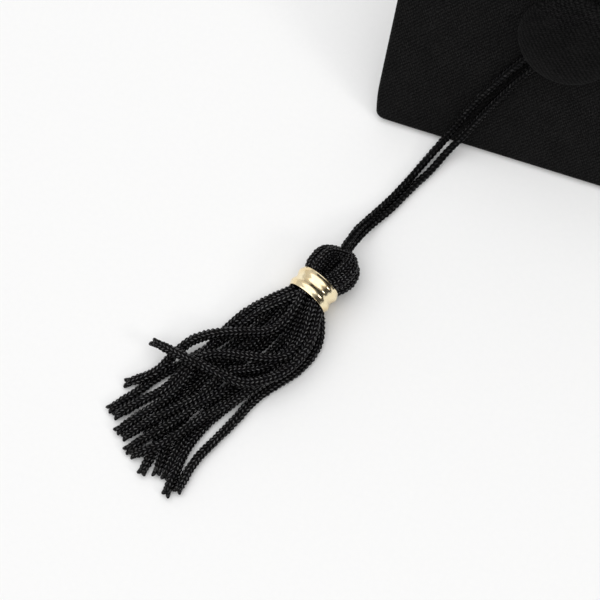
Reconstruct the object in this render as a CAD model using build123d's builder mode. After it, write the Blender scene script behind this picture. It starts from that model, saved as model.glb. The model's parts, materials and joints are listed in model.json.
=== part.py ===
"""Miniature graduation cap with a knitted-cord tassel, lying tipped on its board's lower edge.

Millimetres, +Z up from the surface that the cap lies on, +X along the board's lower edge, +Y behind it.
The origin is on that surface, under the middle of the cap without its tassel. The board leans back on
the rim of its skullcap, with its upper face to the front, and the tassel lies in front of it.
"""

import os
from math import atan2, cos, degrees, pi, radians, sin, tan

from build123d import *

os.makedirs("parts", exist_ok=True)

# ---------------------------------------------------------------- driving dimensions, mm
board_side = 76.2  # 3 in square board
board_corner = 1.6  # rounding of its corners seen from above
card_thickness = 2.0
cloth = 0.35  # thickness of the twill, of the lining and of the glued turn-ins
edge_round = 0.5  # rounding of the folded cloth at the board's edges and at the skullcap's hem
turn_in = 7.0  # width of the top cover that is folded under the board

cap_radius = 22.0  # outside of the skullcap
cap_depth = 28.0  # from the board's underside to the hem
stiffener_thickness = 0.9
crown_thickness = 1.0
hem_turn_in = 6.0

button_diameter = 22.0  # a covered button
button_gap = 2.6  # clear height under the button, for the tassel's loop
button_top = 7.0  # top of the dome above the board
rim_height = 3.5  # where the button is widest
tucked_width = 2.0  # cloth and shell turned in under the button
shell_thickness = 0.5
back_thickness = 0.6
shank_diameter = 2.2
shank_hole = 2.6
shank_head = 6.0
washer_diameter = 8.0
washer_thickness = 0.6

loop_diameter = 2.0  # knitted cord of the loop, pulled thinner than the skirt's
strand_diameter = 2.2  # knitted cord of the skirt
loop_height = 1.3  # the loop's middle above the board, 0.3 mm clear of it

band_outside = 10.5
band_inside = 9.2
band_length = 5.0
band_rim = 0.9  # length of each raised rim
band_groove = 0.45  # depth of the groove between the rims
head_length = 9.5
head_diameter = 12.4
tie_thread = 0.4

# ---------------------------------------------------------------- how the cap lies
board_thickness = card_thickness + 2 * cloth
tilt = atan2(cap_depth, board_side / 2 - cap_radius)
half_inner = board_side / 2 - edge_round
board_height = edge_round + half_inner * sin(tilt) + (board_thickness - edge_round) * cos(tilt)
front_reach = half_inner * cos(tilt) - edge_round * sin(tilt) + edge_round
hem_middle = board_thickness + cap_depth - edge_round
back_reach = (cap_radius - edge_round) * cos(tilt) + hem_middle * sin(tilt) + edge_round

# The board's plane is its upper face: x along the lower edge, y up the board, z out of the face.
board = Plane(
    origin=(0, (front_reach - back_reach) / 2, board_height),
    x_dir=(1, 0, 0),
    z_dir=(0, -sin(tilt), cos(tilt)),
)
# A plane through the button's axis, for turned shapes: x is the radius and y the height.
turning = Plane(origin=board.origin, x_dir=board.x_dir, z_dir=-board.y_dir)
button_axis = Axis(board.origin, board.z_dir)

# The tassel's plane is across its band: x to the side, y up from the band's axis, z towards the skirt.
tassel_heading = radians(21)  # from -Y towards -X
band_height = band_outside / 2
tassel = Plane(
    origin=(-36.8, -72.5, band_height),
    x_dir=(cos(tassel_heading), -sin(tassel_heading), 0),
    z_dir=(-sin(tassel_heading), -cos(tassel_heading), 0),
)
tassel_turning = Plane(origin=tassel.origin, x_dir=tassel.x_dir, z_dir=(0, 0, -1))
tassel_axis = Axis(tassel.origin, tassel.z_dir)


def on_board(x, up, out):
    """A point given along the board's lower edge, up the board and out of its face."""
    return tuple(board.from_local_coords((x, up, out)))


def on_tassel(along, side, height):
    """A point given along the tassel from its band, to its side and above the surface."""
    return tuple(tassel.from_local_coords((side, height - band_height, along)))


def finish(piece, node):
    """Labels a finished piece and writes its STEP."""
    piece.part.label = node
    export_step(piece.part, f"parts/{node}.step")


# ---------------------------------------------------------------- board
core_side = board_side - 2 * cloth

with BuildPart() as board_core:
    with BuildSketch(board.offset(-cloth)):
        RectangleRounded(core_side, core_side, board_corner - cloth)
    extrude(amount=-card_thickness)
    fillet(board_core.faces().sort_by(button_axis)[0].edges(), edge_round - cloth)
    fillet(board_core.faces().sort_by(button_axis)[-1].edges(), edge_round - cloth)
    with BuildSketch(board):
        Circle(shank_hole / 2)
    extrude(amount=-board_thickness, mode=Mode.SUBTRACT)
finish(board_core, "board_core")

with BuildPart() as board_bottom_cover:
    with BuildSketch(board.offset(-board_thickness)):
        Rectangle(board_side - 2 * turn_in, board_side - 2 * turn_in)
        Circle(shank_hole / 2, mode=Mode.SUBTRACT)
    extrude(amount=cloth)
finish(board_bottom_cover, "board_bottom_cover")

with BuildPart() as board_top_cover:
    with BuildSketch(board):
        RectangleRounded(board_side, board_side, board_corner)
    extrude(amount=-board_thickness)
    fillet(board_top_cover.faces().sort_by(button_axis)[0].edges(), edge_round)
    fillet(board_top_cover.faces().sort_by(button_axis)[-1].edges(), edge_round)
    with BuildSketch(board):
        Circle(shank_hole / 2)
    extrude(amount=-board_thickness, mode=Mode.SUBTRACT)
    add(board_core.part, mode=Mode.SUBTRACT)
    add(board_bottom_cover.part, mode=Mode.SUBTRACT)
finish(board_top_cover, "board_top_cover")


# ---------------------------------------------------------------- covered button
def button_body(inset):
    """The button's solid shape, drawn in by a skin's thickness all round."""
    radius = button_diameter / 2 - inset
    with BuildPart() as body:
        with BuildSketch(turning):
            with BuildLine():
                crown = Spline(
                    (0, button_top - inset),
                    (radius, rim_height),
                    tangents=[(1, 0), (0, -1)],
                    tangent_scalars=[1.25, 0.9],
                )
                heel = (radius - 0.9 + inset, button_gap + inset)
                TangentArc(crown @ 1, heel, tangent=crown % 1)
                Polyline(heel, (0, button_gap + inset), (0, button_top - inset))
            make_face()
        revolve(axis=button_axis)
    return body.part


with BuildPart() as button_cover:
    add(button_body(0))
    add(button_body(cloth), mode=Mode.SUBTRACT)
    with BuildSketch(board.offset(button_gap)):
        Circle(button_diameter / 2 - tucked_width)
    extrude(amount=cloth, mode=Mode.SUBTRACT)
finish(button_cover, "button_cover")

with BuildPart() as button_shell:
    add(button_body(cloth))
    add(button_body(cloth + shell_thickness), mode=Mode.SUBTRACT)
    with BuildSketch(board.offset(button_gap)):
        Circle(button_diameter / 2 - tucked_width)
    extrude(amount=cloth + shell_thickness, mode=Mode.SUBTRACT)
finish(button_shell, "button_shell")

with BuildPart() as button_back:
    with BuildSketch(board.offset(button_gap)):
        Circle(button_diameter / 2 - tucked_width)
        Circle(shank_diameter / 2, mode=Mode.SUBTRACT)
    extrude(amount=back_thickness)
finish(button_back, "button_back")

# The shank is a rivet: its head is shut in the button, and its tail is spread under the washer.
under_cap = board_thickness + crown_thickness + cloth
with BuildPart() as button_shank:
    with BuildSketch(board.offset(button_gap + back_thickness)):
        Circle(shank_head / 2)
    extrude(amount=washer_thickness)
    with BuildSketch(board.offset(button_gap + back_thickness)):
        Circle(shank_diameter / 2)
    extrude(amount=-(button_gap + back_thickness + under_cap + washer_thickness))
    with BuildSketch(board.offset(-under_cap - washer_thickness)):
        Circle(shank_diameter / 2 + 0.8)
    extrude(amount=-washer_thickness)
    fillet(button_shank.faces().sort_by(button_axis)[0].edges(), washer_thickness / 2)
finish(button_shank, "button_shank")

with BuildPart() as anchor_washer:
    with BuildSketch(board.offset(-under_cap)):
        Circle(washer_diameter / 2)
        Circle(shank_diameter / 2, mode=Mode.SUBTRACT)
    extrude(amount=-washer_thickness)
    chamfer(anchor_washer.faces().sort_by(button_axis)[0].edges().sort_by(SortBy.LENGTH)[-1], 0.2)
finish(anchor_washer, "anchor_washer")

# ---------------------------------------------------------------- skullcap
cloth_inside = cap_radius - cloth
card_inside = cloth_inside - stiffener_thickness
lining_inside = card_inside - cloth
hem_level = board_thickness + cap_depth
crown_level = board_thickness + crown_thickness

with BuildPart() as crown_disc:
    with BuildSketch(board.offset(-board_thickness)):
        Circle(card_inside)
        Circle(shank_hole / 2, mode=Mode.SUBTRACT)
    extrude(amount=-crown_thickness)
finish(crown_disc, "crown_disc")

with BuildPart() as crown_lining:
    with BuildSketch(board.offset(-crown_level)):
        Circle(card_inside)
        Circle(shank_hole / 2, mode=Mode.SUBTRACT)
    extrude(amount=-cloth)
finish(crown_lining, "crown_lining")

with BuildPart() as wall_stiffener:
    with BuildSketch(board.offset(-board_thickness)):
        Circle(cloth_inside)
        Circle(card_inside, mode=Mode.SUBTRACT)
    extrude(amount=cloth - cap_depth)
    fillet(wall_stiffener.faces().sort_by(button_axis)[0].edges(), edge_round - cloth)
finish(wall_stiffener, "wall_stiffener")

with BuildPart() as cap_wall:
    with BuildSketch(board.offset(-hem_level)):
        Circle(cap_radius)
        Circle(lining_inside, mode=Mode.SUBTRACT)
    extrude(amount=hem_turn_in)
    fillet(cap_wall.faces().sort_by(button_axis)[0].edges(), edge_round)
    with BuildSketch(board.offset(-hem_level + hem_turn_in)):
        Circle(cap_radius)
        Circle(cloth_inside, mode=Mode.SUBTRACT)
    extrude(amount=cap_depth - hem_turn_in)
    add(wall_stiffener.part, mode=Mode.SUBTRACT)
finish(cap_wall, "cap_wall")

with BuildPart() as wall_lining:
    with BuildSketch(board.offset(-crown_level - cloth)):
        Circle(card_inside)
        Circle(lining_inside, mode=Mode.SUBTRACT)
    extrude(amount=-(cap_depth - crown_thickness - cloth - hem_turn_in))
finish(wall_lining, "wall_lining")

# ---------------------------------------------------------------- tassel: band and head
with BuildPart() as tassel_band:
    rim_radius = band_outside / 2
    groove_radius = rim_radius - band_groove
    shoulder = band_length / 2 - band_rim
    with BuildSketch(tassel_turning):
        with BuildLine():
            for end in (-1, 1):
                ThreePointArc(
                    (groove_radius + 0.1, end * band_length / 2),
                    (rim_radius, end * (band_length - band_rim) / 2),
                    (groove_radius + 0.15, end * shoulder),
                )
                Line(
                    (band_inside / 2, end * band_length / 2),
                    (groove_radius + 0.1, end * band_length / 2),
                )
            ThreePointArc(
                (groove_radius + 0.15, -shoulder),
                (groove_radius - 0.05, 0),
                (groove_radius + 0.15, shoulder),
            )
            Line((band_inside / 2, -band_length / 2), (band_inside / 2, band_length / 2))
        make_face()
    revolve(axis=tassel_axis)
finish(tassel_band, "tassel_band")

tie_radius = band_inside / 2 - tie_thread / 2 - 0.1
tie_turns = 3
with BuildPart() as neck_tie:
    for turn in range(tie_turns):
        with BuildSketch(tassel_turning):
            with Locations((tie_radius, (turn - (tie_turns - 1) / 2) * (tie_thread + 0.05))):
                Circle(tie_thread / 2)
        revolve(axis=tassel_axis)
finish(neck_tie, "neck_tie")

# The cords squeezed together in the band, with the groove that the tie cuts into them.
tie_room = tie_turns * (tie_thread + 0.05) + 0.1
with BuildPart() as bound_cords:
    with BuildSketch(tassel.offset(-band_length / 2)):
        Circle(band_inside / 2 - 0.02)
    extrude(amount=band_length)
    with BuildSketch(tassel.offset(-tie_room / 2)):
        Circle(band_inside / 2)
        Circle(tie_radius - tie_thread / 2 - 0.02, mode=Mode.SUBTRACT)
    extrude(amount=tie_room, mode=Mode.SUBTRACT)
finish(bound_cords, "bound_cords")

# The folds of the cords over the loop make a round head, flat where it lies on the surface.
with BuildPart() as tassel_head:
    head_base = -band_length / 2
    with BuildSketch(tassel_turning):
        with BuildLine():
            side = Spline(
                (band_inside / 2 - 0.2, head_base),
                (head_diameter / 2, head_base - 0.42 * head_length),
                (0, head_base - head_length),
                tangents=[(0.5, -1), (-1, 0)],
            )
            Polyline(side @ 1, (0, head_base), side @ 0)
        make_face()
    revolve(axis=tassel_axis)
    with BuildSketch(Plane.XY):
        with Locations(tassel.origin):
            Circle(2 * head_length)
    extrude(amount=-head_diameter, mode=Mode.SUBTRACT)
finish(tassel_head, "tassel_head")


# ---------------------------------------------------------------- cords
def corner_radii(points):
    """The bend at each inner point, as large as its two runs allow."""
    radii = []
    for before, here, after in zip(points, points[1:], points[2:]):
        arriving = Vector(here) - Vector(before)
        leaving = Vector(after) - Vector(here)
        turn = radians(arriving.get_angle(leaving))
        radii.append(0.45 * min(arriving.length, leaving.length) / tan(turn / 2))
    return radii


def cord(node, points, diameter):
    """A plain tube along straight runs that are joined by tangent arcs."""
    radii = corner_radii(points)
    with BuildPart() as tube:
        with BuildLine():
            route = FilletPolyline(*points, radius=radii)
        with BuildSketch(Plane(origin=route @ 0, z_dir=route % 0)):
            Circle(diameter / 2)
        sweep(path=route)
    finish(tube, node)
    share = tube.part.volume / (pi * diameter**2 / 4 * route.length)
    tightest = ", ".join(f"{r:.1f}" for r in radii)
    print(f"{node}: length {route.length:.1f}, volume share {share:.3f}, radii {tightest}")


# The loop leaves the tassel's head, goes up the board, round the shank and back beside itself.
loop_route = [
    (-32.3, -62.0, 4.9),
    (-31.2, -57.4, 3.4),
    (-29.2, -52.4, 1.5),
    (-26.2, -47.4, 1.05),
    (-23.6, -41.6, 1.1),
    (-21.3, -36.6, 1.05),
    (-19.2, -31.3, 2.2),
    on_board(-16.6, -33.8, 1.7),
    on_board(-14.1, -27.6, loop_height),
    on_board(-10.3, -19.3, loop_height),
    on_board(-6.2, -11.3, loop_height),
    on_board(-1.2, -4.6, loop_height),
    on_board(3.6, 0.6, loop_height),
    on_board(-0.6, 3.6, loop_height),
    on_board(-5.0, -3.2, loop_height),
    on_board(-9.2, -9.6, loop_height),
    on_board(-13.4, -17.6, loop_height),
    on_board(-16.9, -25.3, loop_height),
    on_board(-19.1, -32.2, 1.7),
    (-21.2, -30.4, 2.2),
    (-23.4, -35.6, 1.05),
    (-25.8, -40.4, 1.1),
    (-28.3, -45.8, 1.05),
    (-31.0, -51.8, 1.5),
    (-33.0, -57.0, 3.5),
    (-33.9, -61.6, 5.2),
]
cord("tassel_loop", loop_route, loop_diameter)

# Each strand of the skirt: along the tassel from its band, to its side, height above the surface.
skirt_end = band_length / 2
strand_routes = [
    # over the others and out to the left
    [(skirt_end, 3.3, 6.4), (6.5, 5.6, 5.9), (11.0, 8.0, 4.4), (16.0, 8.6, 3.5), (21.0, 6.6, 3.8),
     (25.0, 2.6, 4.8), (27.3, -3.0, 5.4), (28.6, -8.3, 5.4), (30.0, -13.7, 5.2), (31.0, -19.0, 4.2)],
    # right-hand side, lowest
    [(skirt_end, 3.2, 4.2), (6.5, 5.6, 3.1), (12.0, 8.7, 1.3), (17.0, 8.8, 1.1), (22.0, 7.2, 1.15),
     (27.0, 5.2, 1.1), (32.5, 4.2, 1.15), (38.0, 4.0, 1.1), (43.5, 4.0, 1.15), (48.5, 5.0, 1.1), (52.4, 6.3, 1.1)],
    # inside it, riding up on the middle
    [(skirt_end, 2.1, 2.5), (7.0, 4.2, 1.4), (12.0, 5.6, 1.1), (18.0, 5.6, 1.15), (24.0, 4.4, 1.3),
     (29.5, 3.2, 2.3), (35.0, 2.0, 3.1), (40.5, 1.4, 3.1), (45.5, 1.9, 2.7), (50.0, 3.1, 1.6), (54.4, 4.1, 1.15)],
    # curved out to the left with a gap inside it
    [(skirt_end, -2.1, 8.1), (7.0, -2.2, 7.6), (11.5, -2.7, 6.4), (15.5, -5.0, 5.7), (18.8, -8.6, 5.0),
     (22.5, -11.8, 3.2), (27.0, -13.5, 1.6), (31.5, -14.2, 1.4), (35.2, -15.0, 1.5), (38.4, -16.3, 1.2), (41.5, -17.9, 1.15)],
    # left-hand side, lowest
    [(skirt_end, -3.2, 4.2), (6.0, -5.2, 3.4), (11.0, -8.6, 1.4), (17.0, -9.7, 1.1), (23.0, -9.5, 1.15),
     (28.5, -10.4, 1.1), (34.0, -12.4, 1.15), (39.5, -14.2, 1.1), (45.5, -15.4, 1.1)],
    # second layer, from left to right
    [(skirt_end, -3.3, 6.4), (7.0, -4.4, 5.8), (12.5, -5.7, 4.0), (18.5, -6.2, 3.2), (24.5, -6.5, 3.25),
     (30.5, -7.6, 3.2), (36.0, -9.9, 2.9), (40.5, -12.6, 3.1), (44.8, -14.8, 3.1), (48.2, -16.4, 2.3)],
    [(skirt_end, 0.0, 6.7), (7.0, -1.0, 6.2), (12.5, -1.7, 4.6), (18.5, -2.8, 3.3), (24.5, -4.0, 3.2),
     (30.5, -5.1, 3.25), (36.5, -5.8, 3.2), (42.0, -7.0, 3.25), (47.0, -9.2, 2.9), (51.2, -12.0, 1.4)],
    [(skirt_end, 0.0, 8.8), (6.5, 0.4, 8.1), (11.0, 1.0, 6.3), (15.5, 1.2, 4.2), (21.0, 0.6, 3.2),
     (27.0, -0.5, 3.25), (33.0, -2.0, 3.2), (39.0, -3.5, 3.25), (44.5, -4.9, 3.0), (49.0, -6.0, 2.0), (52.6, -6.9, 1.2)],
    [(skirt_end, 2.1, 8.1), (7.0, 2.6, 7.4), (11.5, 3.6, 5.4), (16.0, 3.9, 3.6), (21.5, 3.2, 3.2),
     (27.5, 1.8, 3.25), (33.0, 0.3, 3.2), (38.5, -1.1, 3.25), (44.5, -2.7, 3.1), (50.0, -4.0, 2.4), (54.8, -4.6, 1.2)],
    # lowest layer, from right to left
    [(skirt_end, 1.4, 5.3), (7.0, 2.2, 3.4), (12.0, 3.0, 1.3), (18.0, 3.0, 1.1), (24.0, 2.1, 1.15),
     (30.5, 0.9, 1.1), (37.0, 0.6, 1.15), (44.0, 0.9, 1.1), (51.0, 1.3, 1.1)],
    [(skirt_end, 0.0, 3.9), (7.0, 0.5, 2.6), (12.0, 0.6, 1.2), (18.0, 0.3, 1.1), (24.0, -0.4, 1.15),
     (30.5, -1.4, 1.1), (37.0, -1.7, 1.15), (44.0, -1.4, 1.1), (51.5, -0.9, 1.1)],
    [(skirt_end, 0.0, 1.8), (7.0, -1.2, 1.3), (12.0, -1.8, 1.1), (18.0, -2.1, 1.15), (24.0, -2.8, 1.1),
     (30.5, -3.8, 1.15), (37.0, -4.1, 1.1), (43.5, -3.7, 1.15), (49.0, -2.9, 1.1), (54.0, -2.3, 1.1)],
    [(skirt_end, -2.1, 2.5), (7.0, -3.4, 1.4), (12.0, -4.2, 1.1), (18.0, -4.6, 1.15), (24.0, -5.2, 1.1),
     (30.5, -6.2, 1.15), (37.0, -6.5, 1.1), (44.0, -6.6, 1.15), (50.5, -8.7, 1.1)],
    [(skirt_end, -1.4, 5.3), (7.0, -4.0, 3.4), (12.0, -6.5, 1.3), (18.0, -7.2, 1.1), (24.0, -7.4, 1.15),
     (30.5, -8.5, 1.1), (37.0, -8.9, 1.15), (43.0, -9.2, 1.1), (48.5, -10.6, 1.1)],
]
for number, strand in enumerate(strand_routes, start=1):
    cord(f"skirt_strand_{number:02d}", [on_tassel(*point) for point in strand], strand_diameter)

print(f"tilt {degrees(tilt):.2f} degrees, board centre {tuple(round(v, 3) for v in board.origin)}")
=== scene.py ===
"""Miniature graduation cap, lying tipped on a white surface with its tassel in front of it.

Metres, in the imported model's frame. Sizes are written in millimetres and turned into metres by MM.
"""

import json
from math import cos, pi, radians, sin

import bpy
import numpy as np
from mathutils import Matrix, Quaternion, Vector


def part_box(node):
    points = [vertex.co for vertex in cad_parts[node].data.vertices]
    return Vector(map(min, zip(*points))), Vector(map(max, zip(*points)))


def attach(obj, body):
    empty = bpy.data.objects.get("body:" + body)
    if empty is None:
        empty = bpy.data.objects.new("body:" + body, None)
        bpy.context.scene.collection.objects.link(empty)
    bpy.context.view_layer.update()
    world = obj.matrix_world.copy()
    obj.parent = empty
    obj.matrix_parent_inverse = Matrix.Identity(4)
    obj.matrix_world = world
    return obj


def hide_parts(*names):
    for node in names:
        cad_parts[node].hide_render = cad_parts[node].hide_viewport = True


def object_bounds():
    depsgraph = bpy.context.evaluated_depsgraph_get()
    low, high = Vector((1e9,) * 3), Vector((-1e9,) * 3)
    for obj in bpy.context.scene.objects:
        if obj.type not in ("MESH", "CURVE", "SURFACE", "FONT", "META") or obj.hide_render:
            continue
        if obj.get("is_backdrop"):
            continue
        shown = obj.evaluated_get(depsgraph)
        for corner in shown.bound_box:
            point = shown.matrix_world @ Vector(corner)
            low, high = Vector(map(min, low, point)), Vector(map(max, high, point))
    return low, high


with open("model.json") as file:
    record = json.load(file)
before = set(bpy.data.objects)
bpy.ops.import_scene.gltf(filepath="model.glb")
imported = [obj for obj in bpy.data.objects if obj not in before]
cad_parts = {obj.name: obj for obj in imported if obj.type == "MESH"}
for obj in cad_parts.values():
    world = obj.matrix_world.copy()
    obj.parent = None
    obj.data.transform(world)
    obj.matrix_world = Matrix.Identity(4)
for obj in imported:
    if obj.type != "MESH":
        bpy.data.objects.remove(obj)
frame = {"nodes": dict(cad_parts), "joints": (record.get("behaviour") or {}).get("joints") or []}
cad_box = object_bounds()
MM = 0.001

# ---------------------------------------------------------------- places, from the frame
turning = frame["joints"][0]
board_centre = Vector(turning["pos_m"])
board_out = Vector(turning["axis"]).normalized()
board_along = Vector((1, 0, 0))
board_up = board_out.cross(board_along)
board_frame = Matrix((board_along, board_up, board_out)).transposed().to_4x4()
board_frame.translation = board_centre

band_low, band_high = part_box("tassel_band")
band_centre = (Vector(band_low) + Vector(band_high)) / 2
tassel_heading = radians(21)  # from -Y towards -X
tassel_along = Vector((-sin(tassel_heading), -cos(tassel_heading), 0))
tassel_side = Vector((cos(tassel_heading), -sin(tassel_heading), 0))

board_side = 76.2
board_thickness = 2.7
cloth = 0.35
turn_in = 7.0
cap_radius = 22.0
cap_depth = 28.0
button_radius = 11.0
band_length = 5.0
strand_diameter = 2.2
loop_diameter = 2.0


def on_board(x, up, out):
    """A point in metres, from millimetres along the board's lower edge, up it and out of its face."""
    return board_frame @ Vector((x * MM, up * MM, out * MM))


def on_tassel(along, side, height):
    """A point in metres, from millimetres along the tassel, to its side and above the surface."""
    place = band_centre + tassel_along * along * MM + tassel_side * side * MM
    place.z = height * MM
    return place


def at(x, y, z):
    """A point in metres, from millimetres."""
    return Vector((x * MM, y * MM, z * MM))


# ---------------------------------------------------------------- mesh helpers
def new_piece(name, verts, faces, material, body, grain=None, smooth=True):
    """A mesh piece with its material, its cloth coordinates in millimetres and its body."""
    mesh = bpy.data.meshes.new(name)
    mesh.from_pydata([tuple(v) for v in verts], [], [tuple(f) for f in faces])
    mesh.update()
    if smooth:
        mesh.polygons.foreach_set("use_smooth", [True] * len(mesh.polygons))
    if grain is not None:
        layer = mesh.attributes.new("grain", "FLOAT_VECTOR", "POINT")
        layer.data.foreach_set("vector", np.asarray(grain, dtype=np.float32).ravel())
    mesh.materials.append(material)
    piece = bpy.data.objects.new(name, mesh)
    bpy.context.collection.objects.link(piece)
    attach(piece, body)
    return piece


def grid_faces(rows, columns, closed, start=0):
    """Quads over a grid of vertices, closed round its columns if asked."""
    r, c = np.meshgrid(np.arange(rows - 1), np.arange(columns if closed else columns - 1), indexing="ij")
    following = (c + 1) % columns
    quads = np.stack(
        [r * columns + c, r * columns + following, (r + 1) * columns + following, (r + 1) * columns + c], -1
    )
    return (quads.reshape(-1, 4) + start).tolist()


# ---------------------------------------------------------------- materials
class Shader:
    """A material that is built node by node."""

    def __init__(self, name, **constants):
        self.material = bpy.data.materials.new(name)
        self.material.use_nodes = True
        self.tree = self.material.node_tree
        self.principled = self.tree.nodes["Principled BSDF"]
        for socket, value in constants.items():
            self.principled.inputs[socket.replace("_", " ")].default_value = value

    def add(self, kind, *inputs, out=0, **settings):
        """A node with its settings and its inputs, which are values or other nodes' outputs."""
        node = self.tree.nodes.new(kind)
        for key, value in settings.items():
            setattr(node, key, value)
        for i, value in enumerate(inputs):
            if isinstance(value, bpy.types.NodeSocket):
                self.tree.links.new(value, node.inputs[i])
            elif value is not None:
                node.inputs[i].default_value = value
        return node.outputs[out]

    def maths(self, operation, *inputs):
        return self.add("ShaderNodeMath", *inputs, operation=operation)

    def ramp(self, value, low, high, to_low=0.0, to_high=1.0):
        """The value's span from low to high, mapped on another span and held at its ends."""
        return self.add("ShaderNodeMapRange", value, low, high, to_low, to_high)

    def vector(self, operation, *inputs):
        return self.add("ShaderNodeVectorMath", *inputs, operation=operation)

    def split(self, vector):
        """The vector's three parts."""
        node = self.tree.nodes.new("ShaderNodeSeparateXYZ")
        self.tree.links.new(vector, node.inputs[0])
        return node.outputs

    def noise(self, place, scale, detail=2.0, roughness=0.5):
        node = self.tree.nodes.new("ShaderNodeTexNoise")
        self.tree.links.new(place, node.inputs["Vector"])
        node.inputs["Scale"].default_value = scale
        node.inputs["Detail"].default_value = detail
        node.inputs["Roughness"].default_value = roughness
        return node.outputs["Fac"]

    def mix_colour(self, share, first, second):
        node = self.tree.nodes.new("ShaderNodeMix")
        node.data_type = "RGBA"
        self.tree.links.new(share, node.inputs["Factor"])
        for socket, value in ((node.inputs[6], first), (node.inputs[7], second)):
            if isinstance(value, bpy.types.NodeSocket):
                self.tree.links.new(value, socket)
            else:
                socket.default_value = (*value, 1)
        return node.outputs[2]

    def bump(self, height, strength, distance, normal=None):
        node = self.tree.nodes.new("ShaderNodeBump")
        self.tree.links.new(height, node.inputs["Height"])
        node.inputs["Strength"].default_value = strength
        node.inputs["Distance"].default_value = distance
        if normal is not None:
            self.tree.links.new(normal, node.inputs["Normal"])
        return node.outputs["Normal"]

    def grain(self):
        """The piece's own coordinates: millimetres on cloth and metal, stitches on a cord."""
        return self.add("ShaderNodeAttribute", attribute_name="grain", out=1)

    def place(self):
        """The point's own place, in metres."""
        return self.add("ShaderNodeTexCoord", out=3)

    def feed(self, socket, value):
        self.tree.links.new(value, self.principled.inputs[socket])


def twill_material(name, relief, roughness):
    """Black 2/1 twill: two threads over and one under, stepping by one, so that its wales run aslant."""
    s = Shader(name, Specular_IOR_Level=0.07, Sheen_Weight=0.015, Sheen_Roughness=0.4)
    cloth_place = s.grain()
    wander = s.add("ShaderNodeTexNoise", cloth_place, None, 0.3, 2.0, out=1)
    wander = s.vector("SUBTRACT", wander, (0.5, 0.5, 0.5))
    cloth_place = s.vector("ADD", cloth_place, s.vector("MULTIPLY", wander, (0.6, 0.6, 0.0)))
    threads = s.vector("MULTIPLY", cloth_place, (1 / thread_pitch, 1 / thread_pitch, 1))
    x, y = s.split(threads)[:2]
    across = s.maths("SUBTRACT", s.maths("FRACT", x), 0.5)
    along = s.maths("SUBTRACT", s.maths("FRACT", y), 0.5)
    step = s.maths("FLOORED_MODULO", s.maths("SUBTRACT", s.maths("FLOOR", y), s.maths("FLOOR", x)), 3.0)
    warp_up = s.maths("LESS_THAN", step, 1.5)
    round_warp = s.maths("COSINE", s.maths("MULTIPLY", across, pi))
    round_weft = s.maths("COSINE", s.maths("MULTIPLY", along, pi))
    float_place = s.maths("MULTIPLY", s.maths("ADD", step, s.maths("ADD", along, 0.5)), pi / 2)
    warp = s.maths("MULTIPLY", round_warp, s.maths("MULTIPLY_ADD", s.maths("SINE", float_place), 0.5, 0.5))
    weft = s.maths("MULTIPLY", s.maths("MULTIPLY", round_weft, round_warp), 0.3)
    height = s.maths("ADD", s.maths("MULTIPLY", warp, warp_up),
                     s.maths("MULTIPLY", weft, s.maths("SUBTRACT", 1.0, warp_up)))
    fibres = s.noise(threads, 2.3, 3.0, 0.7)
    height = s.maths("MULTIPLY_ADD", height, relief, s.ramp(fibres, 0.2, 0.8, -0.6, 0.6))
    specks = s.noise(threads, 0.95, 1.0, 0.6)
    slubs = s.noise(s.vector("MULTIPLY", threads, (1.0, 0.12, 1.0)), 0.9, 2.0)
    patches = s.noise(cloth_place, 0.16, 3.0)
    # The colour is painted shade and light from the weave's relief: darker in the hollows between the threads
    # and lighter on their tops, with the yarn's own slubs, patches and specks added in.
    shade = s.maths("ADD", height, s.ramp(slubs, 0.3, 0.7, -0.25, 0.25))
    shade = s.maths("ADD", shade, s.ramp(patches, 0.3, 0.7, -0.15, 0.15))
    shade = s.maths("ADD", shade, s.ramp(specks, 0.3, 0.7, -roughness, roughness))
    colour = s.mix_colour(s.ramp(shade, -0.1, 1.9), (0.0002, 0.0002, 0.0003), (0.0185, 0.0181, 0.0180))
    # Here and there a speck of lint.
    lint = s.tree.nodes.new("ShaderNodeTexVoronoi")
    s.tree.links.new(cloth_place, lint.inputs["Vector"])
    lint.inputs["Scale"].default_value = 0.17
    speck = s.maths("LESS_THAN", lint.outputs["Distance"], 0.024)
    chosen = s.maths("GREATER_THAN", s.split(lint.outputs["Color"])[0], 0.75)
    s.feed("Base Color", s.mix_colour(s.maths("MULTIPLY", speck, chosen), colour, (0.10, 0.10, 0.10)))
    s.feed("Roughness", s.ramp(height, 0.0, 1.0, 0.85, 0.55))
    s.feed("Normal", s.bump(height, 0.75, 0.08 * MM))
    return s.material


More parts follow.
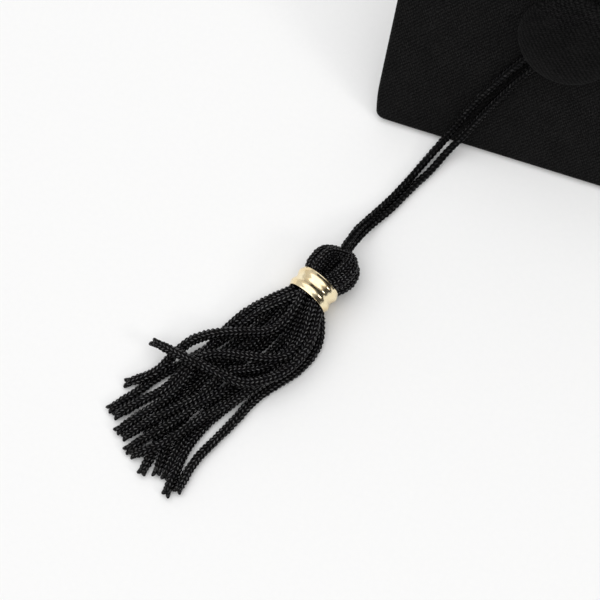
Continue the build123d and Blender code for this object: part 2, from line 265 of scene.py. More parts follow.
def cord_material(name, shine, rare):
    """Knitted rayon: fine filaments along each stitch, painted shade between the stitches, painted light on
    their crests, and glinting on them.
    """
    s = Shader(name)
    stitches = s.grain()
    along, leg, rise = s.split(stitches)
    one_stitch = s.add("ShaderNodeCombineXYZ", s.maths("FLOOR", along), s.maths("FLOOR", leg), 0.0)
    chance = s.add("ShaderNodeTexWhiteNoise", one_stitch, noise_dimensions="3D")
    filaments = s.noise(s.vector("MULTIPLY", stitches, (7.0, 1.3, 0.0)), 1.0, 3.0, 0.7)
    place = s.place()
    shade = s.maths("ADD", rise, s.ramp(filaments, 0.25, 0.75, -0.2, 0.2))
    crest = s.ramp(shade, 0.40, 0.90)
    cool, warm = (0.0095, 0.0092, 0.0115), (0.0120, 0.0102, 0.0094)
    tint = s.mix_colour(s.ramp(s.noise(place, 700.0, 1.0), 0.4, 0.6), cool, warm)
    # The base colour is painted shade and light: near black between the stitches and lighter on their crests,
    # as far as the shine allows.
    crest_shade = s.maths("MULTIPLY", crest, shine)
    s.feed("Base Color", s.mix_colour(crest_shade, (0.0004, 0.0004, 0.0005), tint))
    glint = s.maths("MULTIPLY", crest, s.ramp(chance, rare, 1.0, 0.3, 1.3))
    s.feed("Specular IOR Level", s.ramp(glint, 0.0, 1.0, 0.05, 0.95 * shine))
    s.feed("Roughness", s.ramp(filaments, 0.25, 0.75, 0.18, 0.36))
    s.feed("Normal", s.bump(filaments, 0.5, 0.09 * MM))
    return s.material


def gold_material():
    """Thin stamped metal with a pale gilt finish: fine lines round it, faint dents and a warm tarnish."""
    s = Shader("pale_gilt", Metallic=1.0)
    place = s.place()
    broad = s.noise(place, 420.0, 3.0)
    s.feed("Base Color", s.mix_colour(s.ramp(broad, 0.35, 0.75), (0.98, 0.86, 0.59), (0.88, 0.68, 0.38)))
    lines = s.noise(s.vector("MULTIPLY", s.grain(), (0.35, 14.0, 0.0)), 1.0, 3.0, 0.6)
    s.feed("Roughness", s.ramp(lines, 0.3, 0.75, 0.12, 0.27))
    dents = s.noise(place, 520.0, 2.0)
    s.feed("Normal", s.bump(lines, 0.20, 0.04 * MM, s.bump(dents, 0.18, 0.25 * MM)))
    return s.material


def plain_material(name, colour, roughness, scale, depth, **constants):
    """A plain surface with a little mottling and grain."""
    s = Shader(name, **constants)
    place = s.place()
    darker = tuple(0.75 * v for v in colour)
    s.feed("Base Color", s.mix_colour(s.ramp(s.noise(place, scale * 0.4, 3.0), 0.3, 0.7), darker, colour))
    grain = s.noise(place, scale, 3.0)
    s.feed("Roughness", s.ramp(grain, 0.3, 0.7, roughness - 0.08, roughness + 0.08))
    s.feed("Normal", s.bump(grain, 0.4, depth))
    return s.material


def table_material():
    """A smooth white table, faintly grained."""
    s = Shader("white_table", Specular_IOR_Level=0.2, Roughness=0.6)
    grain = s.noise(s.place(), 900.0, 2.0)
    s.feed("Base Color", s.mix_colour(s.ramp(grain, 0.3, 0.7), (0.895, 0.896, 0.893), (0.905, 0.905, 0.902)))
    return s.material


thread_pitch = 0.35  # of the twill, so that its wales are 0.74 mm apart
twill = twill_material("black_twill", 1.3, 1.0)
twill_pressed = twill_material("black_twill_pressed", 0.75, 0.5)
cord_black = cord_material("knitted_rayon", 1.1, 0.1)
# A shaded copy of the same cord, for the loop: its crests are painted darker as painted shade, and its glints
# are fewer and weaker.
cord_shaded_copy = cord_material("knitted_rayon_shaded_copy", 0.5, 0.6)
gilt = gold_material()
lining_satin = plain_material(
    "lining_satin", (0.007, 0.007, 0.0075), 0.38, 2600.0, 0.04 * MM, Anisotropic=0.5
)
thread_black = plain_material("sewing_thread", (0.006, 0.006, 0.0065), 0.5, 4000.0, 0.03 * MM)
card_grey = plain_material("grey_card", (0.34, 0.31, 0.27), 0.85, 1800.0, 0.05 * MM)
steel_plated = plain_material("plated_steel", (0.62, 0.62, 0.60), 0.30, 1500.0, 0.01 * MM, Metallic=1.0)
table_white = table_material()


# ---------------------------------------------------------------- camera, floor and light
def make_camera():
    """High in front of the table, looking down and a little away, in a long lens."""
    data = bpy.data.cameras.new("camera")
    data.lens = 132
    data.sensor_width = 36
    data.clip_start = 0.01
    camera = bpy.data.objects.new("camera", data)
    bpy.context.collection.objects.link(camera)
    stand = at(16.8, -210.0, 461.8)
    aim = at(-39.5, -74.1, 0)
    roll = radians(-3.74)
    turn = (aim - stand).to_track_quat("-Z", "Y") @ Quaternion((0, 0, 1), roll)
    camera.location = stand
    camera.rotation_mode = "QUATERNION"
    camera.rotation_quaternion = turn
    bpy.context.scene.camera = camera


def add_light(name, place, aim, size, energy, colour):
    data = bpy.data.lights.new(name, "AREA")
    data.shape = "DISK"
    data.size = size
    data.energy = energy
    data.color = colour
    light = bpy.data.objects.new(name, data)
    light.location = place
    light.rotation_mode = "QUATERNION"
    light.rotation_quaternion = (Vector(aim) - Vector(place)).to_track_quat("-Z", "Y")
    bpy.context.collection.objects.link(light)


def make_studio():
    """A white table under broad soft light."""
    half = 1.6
    mesh = bpy.data.meshes.new("table")
    corners = [(-half, -half, 0), (half, -half, 0), (half, half, 0), (-half, half, 0)]
    mesh.from_pydata(corners, [], [(0, 1, 2, 3)])
    mesh.materials.append(table_white)
    table = bpy.data.objects.new("table", mesh)
    bpy.context.collection.objects.link(table)
    table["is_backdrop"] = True
    add_light("window", (1.02, -0.33, 0.72), (-0.02, -0.05, 0), 0.40, 2.2, (1.0, 0.985, 0.96))
    add_light("ceiling", (-0.20, -0.08, 1.2), (-0.02, -0.05, 0), 2.3, 13.4, (0.985, 0.99, 1.0))
    world = bpy.data.worlds.new("studio")
    bpy.context.scene.world = world
    world.use_nodes = True
    tree = world.node_tree
    # The room is pale above and dark towards its walls, most of all round the window.
    height = tree.nodes.new("ShaderNodeVectorMath")
    height.operation = "DOT_PRODUCT"
    tree.links.new(tree.nodes.new("ShaderNodeTexCoord").outputs["Generated"], height.inputs[0])
    height.inputs[1].default_value = (-0.6, 0.15, 1.0)
    wall = tree.nodes.new("ShaderNodeMapRange")
    tree.links.new(height.outputs["Value"], wall.inputs[0])
    for i, value in ((1, 0.1), (2, 0.6), (3, 0.05), (4, 0.66)):
        wall.inputs[i].default_value = value
    background = tree.nodes["Background"]
    background.inputs["Color"].default_value = (1.0, 0.995, 0.99, 1)
    tree.links.new(wall.outputs[0], background.inputs["Strength"])
    bpy.context.scene.view_settings.view_transform = "Standard"


make_camera()
make_studio()


# ---------------------------------------------------------------- knitted cords
def nurbs_line(points):
    """Points along the smooth NURBS curve that has the route's points as its control points."""
    curve = bpy.data.curves.new("route", "CURVE")
    curve.dimensions = "3D"
    spline = curve.splines.new("NURBS")
    spline.points.add(len(points) - 1)
    for control, point in zip(spline.points, points):
        control.co = (*point, 1)
    spline.order_u = 3
    spline.use_endpoint_u = True
    spline.resolution_u = 24
    holder = bpy.data.objects.new("route", curve)
    mesh = bpy.data.meshes.new_from_object(holder)
    line = np.array([v.co for v in mesh.vertices])
    bpy.data.objects.remove(holder)
    bpy.data.meshes.remove(mesh)
    bpy.data.curves.remove(curve)
    return line


def length_of(line):
    return float(np.linalg.norm(np.diff(line, axis=0), axis=1).sum())


def evenly(line, step):
    """The same line, with points an even step apart."""
    gone = np.concatenate([[0], np.cumsum(np.linalg.norm(np.diff(line, axis=0), axis=1))])
    count = max(3, int(round(gone[-1] / step)) + 1)
    where = np.linspace(0, gone[-1], count)
    return np.stack([np.interp(where, gone, line[:, i]) for i in range(3)], 1), where


def frames_along(line):
    """Two directions across the line at each point, carried along it without twisting."""
    tangents = np.gradient(line, axis=0)
    tangents /= np.linalg.norm(tangents, axis=1)[:, None]
    first = np.cross(tangents[0], (0.31, 0.17, 0.93))
    across = [first / np.linalg.norm(first)]
    for t in tangents[1:]:
        carried = across[-1] - t * (across[-1] @ t)
        across.append(carried / np.linalg.norm(carried))
    across = np.array(across)
    return tangents, across, np.cross(tangents, across)


def knit_surface(line, diameter, wales, seed, pitch=1.0, twist=0.0, relief=0.36, slope=0.9, drawn=0.0):
    """A knitted tube: columns of V stitches, as vertices, faces, stitch coordinates, middle and heading.

    Each wale has two legs that lean opposite ways, and its stitches follow each other every pitch.
    The tube's last end is drawn in by a share of its thickness.
    """
    leg_columns, stitch_rows = 7, 8
    chance = np.random.default_rng(seed)
    points, gone = evenly(line, pitch * MM / stitch_rows)
    tangents, across, upward = frames_along(points)
    columns = 2 * wales * leg_columns
    turn = np.arange(columns) / columns
    leg = (turn * 2 * wales) % 1.0
    lean = np.abs(2 * ((turn * wales) % 1.0) - 1)
    slow = np.cumsum(chance.normal(0, 1, len(points)))
    slow = np.convolve(slow, np.ones(31) / 31, "same")
    slow = slow / (np.abs(slow).max() + 1e-9)
    phase = gone[:, None] / (pitch * MM) + lean[None, :] * slope + slow[:, None] * 0.3
    stitch = np.abs(np.sin(pi * phase)) ** 1.2
    rise = stitch * np.sin(pi * leg)[None, :]
    uneven = chance.normal(0, 1, (len(points) // stitch_rows + 2, 2 * wales))
    uneven = uneven[np.arange(len(points)) // stitch_rows][:, np.arange(columns) // leg_columns]
    thick = 1 + 0.035 * slow[:, None] + 0.02 * np.sin(gone[:, None] / diameter * 1.3 + seed)
    left = np.clip((gone[-1] - gone) / (1.3 * diameter), 0, 1)[:, None]
    drawn_in = 1 - drawn * (1 - left) ** 2
    distance = diameter / 2 * thick * drawn_in * (1 + relief * (rise - 0.75) + 0.04 * uneven * rise)
    angle = 2 * pi * turn[None, :] + twist * gone[:, None] / diameter + seed
    shape = across[:, None, :] * np.cos(angle)[..., None] + upward[:, None, :] * np.sin(angle)[..., None]
    verts = (points[:, None, :] + shape * distance[..., None]).reshape(-1, 3)
    legs = np.broadcast_to(turn[None, :] * 2 * wales + seed, rise.shape)
    grain = np.stack([phase, legs, rise], -1).reshape(-1, 3)
    return verts, grid_faces(len(points), columns, True), grain, points, tangents


def closing_cap(line, tangents, at_start, columns, rows, bulge):
    """One vertex that closes an end of a tube, and its faces."""
    place = line[0] - tangents[0] * bulge if at_start else line[-1] + tangents[-1] * bulge
    first = 0 if at_start else (rows - 1) * columns
    ring = [first + i for i in range(columns)]
    tip = rows * columns + (0 if at_start else 1)
    pairs = zip(ring, ring[1:] + ring[:1])
    faces = [(b, a, tip) if at_start else (a, b, tip) for a, b in pairs]
    return place, faces


def yarn_ends(centre, heading, radius, chance):
    """The two soft yarn ends that stand out of a cut cord, as closed round-ended tubes."""
    verts, faces, grain, sides, steps = [], [], [], 10, 9
    side = np.cross(heading, (0.0, 0.0, 1.0))
    side /= np.linalg.norm(side)
    other = np.cross(heading, side)
    for out in (side, -side):
        out = out + other * chance.uniform(-0.4, 0.4)
        root = centre + out * radius * 0.34 - heading * radius * 0.5
        reach = radius * chance.uniform(1.1, 1.7)
        thick = radius * chance.uniform(0.42, 0.52)
        start = len(verts)
        for k in range(steps):
            t = k / (steps - 1)
            middle = root + heading * reach * t + out * radius * 0.3 * t * t
            size = thick * (1 - t**4) ** 0.5 + thick * 0.1
            for j in range(sides):
                a = 2 * pi * j / sides
                verts.append(middle + size * (cos(a) * side + sin(a) * other))
                grain.append((t * 2, 3 * j / sides, 0.55 + 0.4 * sin(2 * pi * t * 2 + a) * sin(3 * a)))
        faces += grid_faces(steps, sides, True, start)
        tip = start + (steps - 1) * sides
        faces.append([tip + j for j in range(sides)])
        faces.append([start + j for j in reversed(range(sides))])
    return verts, faces, grain


def knitted_cord(name, line, diameter, wales, seed, material, cut=False, **shape):
    """A knitted cord along a line, as one piece, closed at both ends, with loose yarn where it is cut."""
    drawn = 0.3 if cut else 0.0
    verts, faces, grain, points, tangents = knit_surface(line, diameter, wales, seed, drawn=drawn, **shape)
    rows = len(points)
    columns = len(verts) // rows
    ends = []
    for at_start in (True, False):
        place, more = closing_cap(points, tangents, at_start, columns, rows, diameter * 0.12)
        ends.append(place)
        faces += more
    verts = list(verts) + ends
    grain = list(grain) + [(0, 0, 0.3)] * 2
    if cut:
        chance = np.random.default_rng(seed + 500)
        more_verts, more_faces, more_grain = yarn_ends(points[-1], tangents[-1], diameter / 2, chance)
        faces += [[i + len(verts) for i in face] for face in more_faces]
        verts += more_verts
        grain += more_grain
    return new_piece(name, verts, faces, material, "tassel", grain)


# The loop leaves the tassel's head, goes up the board, round the shank and back beside itself.
loop_height = 1.05
loop_route = [
    at(-32.9, -62.4, 4.6),
    at(-31.7, -57.4, 3.4),
    at(-29.6, -52.2, 1.2),
    at(-26.7, -47.2, 1.0),
    at(-24.2, -41.3, 1.0),
    at(-21.5, -36.5, 1.05),
    at(-19.3, -31.2, 2.2),
    on_board(-16.6, -33.8, 1.7),
    on_board(-14.1, -27.6, loop_height),
    on_board(-10.3, -19.3, loop_height),
    on_board(-6.2, -11.3, loop_height),
    on_board(-1.2, -4.6, loop_height),
    on_board(3.6, 0.6, loop_height),
    on_board(-0.6, 3.6, loop_height),
    on_board(-4.4, -3.4, loop_height),
    on_board(-8.5, -10.0, loop_height),
    on_board(-12.9, -17.9, loop_height),
    on_board(-16.5, -25.5, loop_height),
    on_board(-19.0, -32.3, 1.7),
    at(-21.4, -30.3, 2.2),
    at(-23.7, -35.5, 1.05),
    at(-25.5, -40.6, 1.6),
    at(-27.9, -46.0, 1.2),
    at(-30.7, -51.9, 2.2),
    at(-32.7, -57.1, 5.0),
    at(-33.6, -62.4, 6.4),
]

# Each strand of the skirt: along the tassel from its band, to its side, height above the surface.
skirt_end = band_length / 2
strand_routes = [
    # 1: round the right-hand side, then back over the others and out to the left
    [(skirt_end, 3.5, 6.5), (7.5, 6.5, 6.0), (12.0, 7.5, 5.5), (17.0, 7.5, 5.0), (22.0, 5.5, 5.5),
     (26.5, 2.0, 6.0), (28.0, -3.5, 7.0), (29.0, -8.5, 7.0), (30.0, -13.5, 6.0), (31.0, -19.0, 4.5)],
    # 2 and 3: the right-hand edge, with a gap between them and the rest
    [(skirt_end, 3.5, 4.0), (5.0, 6.5, 2.5), (9.5, 8.5, 1.2), (15.5, 8.5, 1.1), (21.0, 6.5, 1.1),
     (27.0, 5.0, 1.1), (33.0, 5.0, 1.1), (39.5, 4.5, 1.1), (46.0, 4.0, 1.1), (52.0, 5.5, 1.1)],
    [(skirt_end, 2.5, 3.0), (7.0, 5.0, 1.2), (12.5, 6.0, 1.1), (19.0, 5.0, 1.1), (25.5, 3.0, 1.1),
     (32.0, 1.5, 1.1), (38.5, 0.5, 1.1), (44.5, 1.0, 1.1), (49.5, 2.5, 1.1), (54.0, 4.0, 1.1)],
    # 4: on top, across to the left and down beside a gap
    [(skirt_end, -0.5, 9.0), (8.0, 0.5, 8.0), (13.0, -0.5, 5.5), (17.0, -5.5, 5.5), (21.0, -10.0, 5.5),
     (25.0, -13.5, 3.5), (30.0, -14.5, 3.0), (35.0, -14.5, 3.0), (38.5, -16.5, 2.0), (41.0, -18.5, 1.1)],
    # 5 and 6: the left-hand edge, under the fourth
    [(skirt_end, -1.0, 7.5), (7.5, -4.0, 6.5), (12.5, -6.5, 4.0), (18.0, -8.0, 1.5), (24.0, -10.0, 1.1),
     (30.0, -12.0, 1.1), (36.0, -14.5, 1.1), (42.0, -15.5, 1.1), (47.5, -17.5, 1.1)],
    [(skirt_end, -3.0, 6.5), (7.5, -6.0, 5.0), (12.5, -8.5, 3.0), (18.5, -9.5, 3.0), (25.0, -9.5, 3.0),
     (31.5, -10.5, 3.2), (37.5, -10.5, 3.2), (43.0, -13.5, 2.5), (48.0, -15.5, 1.2)],
    # 7 to 10: across the middle, over the lowest ones, and out to the ends
    [(skirt_end, 2.0, 8.0), (7.5, 4.5, 6.5), (13.0, 6.0, 5.0), (17.5, 3.5, 5.2), (21.0, -2.0, 5.2),
     (24.5, -7.5, 5.0), (28.5, -9.5, 4.8), (34.5, -8.5, 3.5), (40.5, -9.5, 3.2), (46.0, -11.5, 2.8),
     (50.5, -13.0, 1.2)],
    [(skirt_end, 1.0, 7.0), (7.5, 2.5, 5.0), (12.5, 4.0, 3.2), (18.0, 4.0, 3.2), (22.0, 1.0, 3.4),
     (26.0, -3.5, 3.4), (31.5, -3.0, 3.2), (37.5, -5.5, 3.2), (44.0, -8.5, 3.2), (50.5, -11.0, 1.2)],
    [(skirt_end, 0.5, 5.5), (7.0, 1.0, 3.5), (12.0, 1.5, 1.1), (18.0, 1.0, 1.1), (24.0, -0.5, 1.2),
     (29.5, -0.5, 3.0), (35.5, -3.0, 3.2), (41.5, -4.5, 3.2), (47.0, -6.5, 3.0), (52.0, -8.5, 1.2)],
    [(skirt_end, 3.0, 5.5), (7.5, 5.0, 4.0), (13.0, 6.0, 3.2), (19.0, 5.5, 3.2), (25.5, 4.0, 3.2),
     (32.0, 1.5, 3.2), (38.5, -1.0, 3.2), (45.0, -2.5, 3.2), (49.5, -4.5, 2.5), (52.5, -7.0, 1.2)],
    # 11 to 14: the lowest ones, between those
    [(skirt_end, 1.5, 3.5), (7.5, 3.0, 1.3), (13.0, 4.0, 1.1), (19.5, 3.0, 1.1), (26.0, 1.0, 1.1),
     (33.0, -0.5, 1.1), (40.0, -1.5, 1.1), (46.0, -0.5, 1.1), (51.5, 1.5, 1.1)],
    [(skirt_end, -0.5, 3.0), (8.5, -1.0, 1.2), (14.5, -1.0, 1.1), (20.5, -2.5, 1.1), (27.0, -3.5, 1.1),
     (33.5, -4.0, 1.1), (40.0, -4.0, 1.1), (46.0, -3.0, 1.1), (52.0, -0.5, 1.1)],
    [(skirt_end, -1.0, 5.5), (8.0, -2.0, 4.0), (13.5, -2.5, 2.5), (19.5, -4.0, 2.5), (25.0, -5.5, 1.5),
     (31.0, -6.5, 1.1), (37.5, -6.5, 1.1), (43.5, -6.0, 1.1), (49.0, -4.0, 1.1), (54.0, -3.0, 1.1)],
    [(skirt_end, -2.5, 4.0), (8.5, -4.0, 1.6), (14.0, -5.0, 1.1), (20.0, -6.5, 1.1), (26.5, -7.5, 1.1),
     (33.0, -9.0, 1.1), (39.0, -8.5, 1.1), (44.5, -8.5, 1.1), (47.5, -7.5, 1.1)],
]


def make_loop():
    """The doubled cord, and the line that it follows."""
    line = nurbs_line(loop_route)
    drawn_thin = 0.88  # of its slack thickness, because it is pulled
    # The loop wears the cord's shaded copy, whose darker colour is painted shade.
    piece = knitted_cord(
        "loop_cord", line, drawn_thin * loop_diameter * MM, wales=3, seed=3, material=cord_shaded_copy,
        twist=0.06, pitch=1.1, slope=0.75, relief=0.32,
    )
    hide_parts("tassel_loop")
    return piece, line


def make_skirt():
    """The skirt's strands, each a free cord from the band to its cut end."""
    for number, route in enumerate(strand_routes, start=1):
        line = nurbs_line([on_tassel(*point) for point in route])
        twist = 0.10 if number % 2 else -0.08
        name = f"strand_{number:02d}"
        piece = knitted_cord(
            name, line, strand_diameter * MM, wales=4, seed=number, material=cord_black, cut=True, twist=twist
        )
        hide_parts(f"skirt_strand_{number:02d}")
        length_of(line)


# ---------------------------------------------------------------- tassel's head and band
def on_band(along, side, up):
    """A point in metres, from millimetres along the tassel, to its side and above its axis."""
    return band_centre + tassel_along * along * MM + tassel_side * side * MM + Vector((0, 0, up * MM))


def make_head():
    """The cords folded over the loop, which rise from the band in two lobes and meet where it comes out."""
    # Each lobe: the side of its middle at the band, at its widest and near the top.
    lobes = {"left": (-2.3, -2.7, -1.6), "right": (2.4, 3.2, 2.6)}
    girth = 0.95
    rib_diameter = 2.4
    stem_along, stem_side, stem_up = -11.0, 0.9, -0.8
    verts, faces, grain = [], [], []
    for number, (low, wide, high) in enumerate(lobes.values()):
        for rib in range(6):
            a = radians(60 * rib + 30 * number + 8)
            side, up = sin(a), cos(a)
            # The cords beside the crease between the lobes lie deeper.
            sunk = 1.2 * max(0.0, side if low < 0 else -side) * (up > 0)
            route = [
                on_band(-1.9, 0.6 * low + 1.7 * side, 2.9 * up - sunk),
                on_band(-3.4, low + 1.9 * side, 3.2 * up - sunk),
                on_band(-5.8, wide + 1.9 * girth * side, 3.4 * up - 0.2 - 0.8 * sunk),
                on_band(-8.0, wide + 1.8 * girth * side, 3.2 * up - 0.3 - 0.3 * sunk),
                on_band(-9.6, high + 1.2 * side, 2.0 * up - 0.5),
                on_band(stem_along, 0.6 * side + stem_side, 0.8 * up + stem_up),
            ]
            v, f, g, points, tangents = knit_surface(
                nurbs_line(route), rib_diameter * MM, wales=5, seed=40 + 10 * number + rib,
                pitch=0.8, twist=0.15, relief=0.3,
            )
            columns = len(v) // len(points)
            start = len(verts)
            faces += [[i + start for i in face] for face in f]
            verts += list(v)
            grain += list(g)
            for at_start in (True, False):
                place, more = closing_cap(points, tangents, at_start, columns, len(points), 0.3 * MM)
                faces += [[i + start for i in face] for face in more]
                verts.append(place)
                grain.append((0, 0, 0.3))
    piece = new_piece("folded_head", verts, faces, cord_black, "tassel", grain)
    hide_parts("tassel_head")
    return piece


def make_band():
    """A thin metal band with two raised rims and a hollow between them, a little uneven from its stamping."""
    # Along the band and radius: a turned edge, two round ridges and the groove between them.
    outline = [(-2.42, 4.62), (-2.50, 4.72), (-2.48, 4.84)]
    for k in range(33):
        along = -2.40 + 4.80 * k / 32
        outline.append((along, 4.78 + 0.44 * sin(pi * min(abs(along), 2.7) / 2.7) ** 2))
    outline += [(2.48, 4.84), (2.50, 4.72), (2.42, 4.62)]
    around = 144
    verts, grain = [], []
    for along, radius in outline:
        for k in range(around):
            a = 2 * pi * k / around
            uneven = 0.030 * sin(3 * a + 1.1 * along) + 0.020 * sin(7 * a - 0.8 * along + 2)
            r = radius + uneven
            verts.append(on_band(along, r * sin(a), r * cos(a)))
            grain.append((a * 5, along, 0))
    faces = grid_faces(len(outline), around, True)
    last = (len(outline) - 1) * around
    faces += [[last + (k + 1) % around, (k + 1) % around, k, last + k] for k in range(around)]
    piece = new_piece("neck_band", verts, faces, gilt, "tassel", grain)
    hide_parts("tassel_band")
    return piece


loop_piece, loop_line = make_loop()
make_skirt()
head_piece = make_head()
band_piece = make_band()
tuple(loop_line[0])
length_of(loop_line)


# ---------------------------------------------------------------- cloth of the board, button and skullcap
def turned(x, y, angle):
    """Coordinates on a cloth whose threads are turned by an angle, in degrees."""
    a = radians(angle)
    return x * cos(a) - y * sin(a), x * sin(a) + y * cos(a)


def square_outline(side, corner):
    """The board's outline, round its corners, which are drawn in a little where the cloth is pulled."""
    points = []
    straight = side / 2 - corner
    for quarter in range(4):
        a = quarter * pi / 2
        turn = np.array([[cos(a), -sin(a)], [sin(a), cos(a)]])
        for k in range(60):
            points.append(turn @ (side / 2, straight * (2 * k / 60 - 1)))
        for k in range(12):
            b = k / 12 * pi / 2
            points.append(turn @ (straight + corner * cos(b), straight + corner * sin(b)))
    points = np.array(points)
    # Each corner, by its signs, and how far its two sides are drawn in.
    corners = ((-1, -1, 0.9, 0.1), (1, -1, 0.5, 0.15), (1, 1, 0.3, 0.5), (-1, 1, 0.6, 0.3))
    for sign_x, sign_y, draw_x, draw_y in corners:
        reach_x = np.clip(1 - (side / 2 - sign_x * points[:, 0]) / 9, 0, 1)
        reach_y = np.clip(1 - (side / 2 - sign_y * points[:, 1]) / 9, 0, 1)
        points[:, 0] -= sign_x * draw_x * reach_y**2 * (sign_x * points[:, 0] > 0)
        points[:, 1] -= sign_y * draw_y * reach_x**2 * (sign_y * points[:, 1] > 0)
    return points


def make_board_card():
    """The card in the board, cut to the same outline as its cover."""
    margin = cloth + 0.05
    outline = square_outline(board_side, 1.6) * (1 - 2 * margin / board_side)
    angles = np.arctan2(outline[:, 1], outline[:, 0])
    hole = 1.3 * np.stack([np.cos(angles), np.sin(angles)], 1)
    low = -board_thickness + margin
    verts = []
    for ring, height in ((hole, -margin), (outline, -margin), (outline, low), (hole, low)):
        verts += [on_board(x, y, height) for x, y in ring]
    around = len(outline)
    faces = grid_faces(4, around, True)
    faces += [[3 * around + k, 3 * around + (k + 1) % around, (k + 1) % around, k] for k in range(around)]
    piece = new_piece("board_card", verts, faces, card_grey, "cap", smooth=False)
    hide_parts("board_core")
    return piece


def make_board_cover(card):
    """The twill over the board's face, rounded over its edges and turned in 7 mm underneath."""
    half = board_side / 2
    outline = square_outline(board_side, 1.6)
    hole = 1.3
    low = -board_thickness
    fold = 0.85  # rounding of the folded edges
    stations = []  # (distance in from the outline, height, share of a circle)
    for share, inward in ((1.0, half - hole), (0.7, half - 3), (0.3, half - 7), (0.0, half - 12)):
        stations.append((inward, 0.0, share))
    stations += [(inward, 0.0, 0.0) for inward in (22, 18, 14, 10, 7, 5, 3.5, 2.4, 1.6, 1.1)]
    for k in range(9):
        b = k / 8 * pi / 2
        stations.append((fold * (1 - sin(b)), -fold * (1 - cos(b)), 0.0))
    for k in range(9):
        b = k / 8 * pi / 2
        stations.append((fold * (1 - cos(b)), low + fold * (1 - sin(b)), 0.0))
    stations += [(inward, low, 0.0) for inward in (1.4, 2.4, 3.8, 5.4, 6.6, 6.95)]
    stations += [(turn_in, low + 0.1, 0.0), (turn_in, low + cloth - 0.02, 0.0)]
    stations += [(inward, low + cloth, 0.0) for inward in (5.5, 3.0, 1.5)]
    for k in range(5):
        b = k / 4 * pi / 2
        stations.append((cloth + 0.5 * (1 - sin(b)), low + cloth + 0.5 * (1 - cos(b)), 0.0))
    for k in range(5):
        b = k / 4 * pi / 2
        stations.append((cloth + 0.5 * (1 - cos(b)), -cloth - 0.5 * (1 - sin(b)), 0.0))
    stations += [(inward, -cloth, 0.0) for inward in (1.6, 8, 20)]
    stations += [(half - 7, -cloth, 0.3), (half - hole, -cloth, 1.0)]
    angles = np.arctan2(outline[:, 1], outline[:, 0])
    circle = np.stack([np.cos(angles), np.sin(angles)], 1)
    verts, grain = [], []
    run = 0.0
    before = None
    for inward, height, share in stations:
        ring = outline * (1 - inward / half)
        ring = ring * (1 - share) + circle * (half - inward) * share
        if before is not None:
            run += abs(height - before)
        before = height
        for x, y in ring:
            # The cloth goes on round the fold, so that its wales do too.
            if max(abs(x), abs(y)) > 0 and height < 0:
                widest = max(abs(x), abs(y))
                gx, gy = x * (1 + run / widest), y * (1 + run / widest)
            else:
                gx, gy = x, y
            ripple = 0.035 * sin(x * 0.31 + 0.4) * sin(y * 0.27 + 1.0) if height == 0.0 else 0.0
            verts.append(on_board(x, y, height + min(0.0, ripple)))
            grain.append((*turned(gx, gy, -1.3), 0))
    around = len(outline)
    faces = grid_faces(len(stations), around, True)
    last = (len(stations) - 1) * around
    faces += [[k, (k + 1) % around, last + (k + 1) % around, last + k] for k in range(around)]
    piece = new_piece("board_cloth", verts, faces, twill, "cap", grain)
    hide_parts("board_top_cover")
    return piece


def lathe(name, outline, material, around, grain_of, closed, uneven=lambda a, height: 0.0):
    """A turned skin about the board's axis; grain_of gives a point's cloth coordinates."""
    verts, grain = [], []
    for radius, height in outline:
        for k in range(around):
            a = 2 * pi * k / around
            r = radius + uneven(a, height)
            verts.append(on_board(r * cos(a), r * sin(a), height))
            grain.append(grain_of(a, radius, height))
    faces = grid_faces(len(outline), around, True)
    if closed:
        last = (len(outline) - 1) * around
        faces += [[last + k, last + (k + 1) % around, (k + 1) % around, k] for k in range(around)]
    return new_piece(name, verts, faces, material, "cap", grain)


def bezier(start, handle_start, handle_end, end, count):
    """Points on a cubic curve, without its last one."""
    t = np.linspace(0, 1, count, endpoint=False)[:, None]
    start, leaving, arriving, end = (np.array(p, float) for p in (start, handle_start, handle_end, end))
    left = 1 - t
    points = left**3 * start + 3 * left**2 * t * leaving + 3 * left * t**2 * arriving + t**3 * end
    return points.tolist()


def make_button_cover():
    """Twill stretched over the button's low dome, gathered round its rim and tucked in under it."""
    top, rim, gap = 7.0, 3.5, 2.6
    r = button_radius
    outside = bezier((0.02, top), (6.6, top), (r, 5.95), (r, rim), 26)
    outside += bezier((r, rim), (r, 3.0), (10.6, gap), (10.1, gap), 8)
    outside += [(10.1, gap), (9.6, gap), (r - 2.0, gap + 0.02), (r - 2.0, gap + cloth)]
    inside = bezier((10.0, gap + cloth), (10.35, gap + cloth), (r - cloth, 3.2), (r - cloth, rim), 8)
    inside += bezier((r - cloth, rim), (r - cloth, 5.7), (6.5, top - cloth), (0.02, top - cloth), 16)
    inside.append((0.02, top - cloth))
    stretch = 1.2  # of the cloth across its wales, which run aslant over the button
    wales = radians(129)

    def grain_of(a, radius, height):
        gone = radius + max(0.0, rim - height) * (1 if radius > 9 else 0)
        along, across = gone * cos(a - wales), gone * sin(a - wales) / stretch
        return (*turned(along, across, 45), 0)

    def gathers(a, height):
        depth = np.clip((3.8 - height) / 1.2, 0, 1)
        return float(0.05 * depth * sin(23 * a + 1.3 * sin(3 * a)))

    piece = lathe("button_cloth", outside + inside, twill_pressed, 180, grain_of, True, gathers)
    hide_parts("button_cover")
    return piece


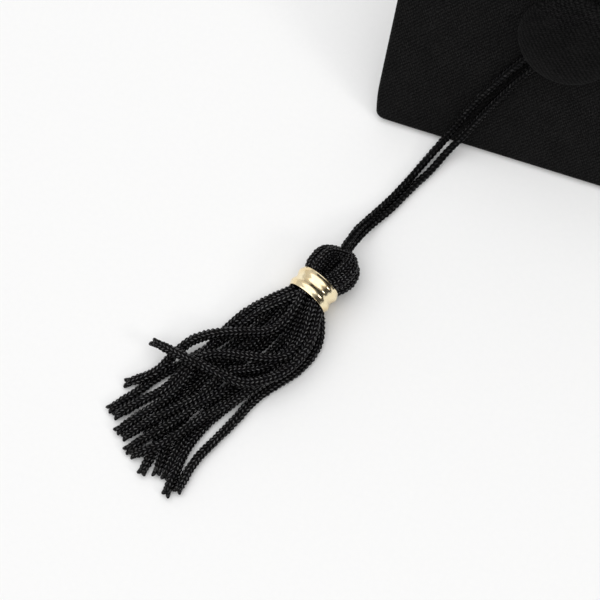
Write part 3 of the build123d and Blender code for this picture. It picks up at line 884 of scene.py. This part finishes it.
def make_skullcap():
    """The skullcap's twill wall with its seam at the back, its turned hem, and the satin inside it."""
    top, hem = -board_thickness, -(board_thickness + cap_depth)
    inner = cap_radius - 2 * cloth - 0.9

    def round_wall(a, radius, height):
        return (*turned(a * cap_radius, height, 20), 0)

    def wall_shape(a, height):
        seam = -0.28 * np.exp(-(((a - pi / 2) * cap_radius / 0.35) ** 2))
        belly = 0.10 * sin(2 * a + 0.5) * sin(pi * (height - hem) / cap_depth)
        soft = belly + 0.04 * sin(5 * a + 0.2 * height)
        return float(seam + soft * 0.6)

    outline = [(cap_radius, top - 0.01 - cap_depth * k / 24) for k in range(24)]
    outline += [(cap_radius, hem + 0.5)]
    for k in range(1, 7):
        b = k / 6 * pi / 2
        outline.append((cap_radius - 0.5 * (1 - cos(b)), hem + 0.5 * (1 - sin(b))))
    for k in range(7):
        b = k / 6 * pi / 2
        outline.append((inner + 0.5 * (1 - sin(b)), hem + 0.5 * (1 - cos(b))))
    outline += [(inner, hem + 2.5), (inner, hem + 4.5), (inner, hem + 5.9), (inner + 0.1, hem + 6.0)]
    outline += [(inner + cloth - 0.02, hem + 6.0), (inner + cloth, hem + 4)]
    outline += [(inner + cloth + 0.1, hem + cloth + 0.2)]
    outline += [(cap_radius - cloth - 0.1, hem + cloth + 0.2), (cap_radius - cloth, hem + 4)]
    outline += [(cap_radius - cloth, hem + 14), (cap_radius - cloth, top - 0.01)]
    wall = lathe("skullcap_wall", outline, twill, 240, round_wall, True, wall_shape)
    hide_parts("cap_wall")

    def pleats(a, height):
        return 0.05 * sin(36 * a + sin(4 * a)) * sin(pi * np.clip((height - hem) / cap_depth, 0, 1))

    skin = [(inner, hem + 6.0 + k * 1.03) for k in range(21)]
    skin += [(inner + cloth, hem + 26.6 - k * 5.15) for k in range(5)]
    lining = lathe("wall_satin", skin, lining_satin, 216, round_wall, True, pleats)
    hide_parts("wall_lining")


make_board_cover(make_board_card())
make_button_cover()
make_skullcap()

# ---------------------------------------------------------------- CAD pieces that keep their shape
for node, material in {
    "crown_disc": card_grey,
    "wall_stiffener": card_grey,
    "button_shell": steel_plated,
    "button_back": steel_plated,
    "button_shank": steel_plated,
    "anchor_washer": steel_plated,
    "neck_tie": thread_black,
    "bound_cords": cord_black,
    "board_bottom_cover": twill,
    "crown_lining": lining_satin,
}.items():
    mesh = frame["nodes"][node].data
    mesh.materials.clear()
    mesh.materials.append(material)

visual_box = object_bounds()
[[list(map(float, corner)) for corner in box] for box in (cad_box, visual_box)]
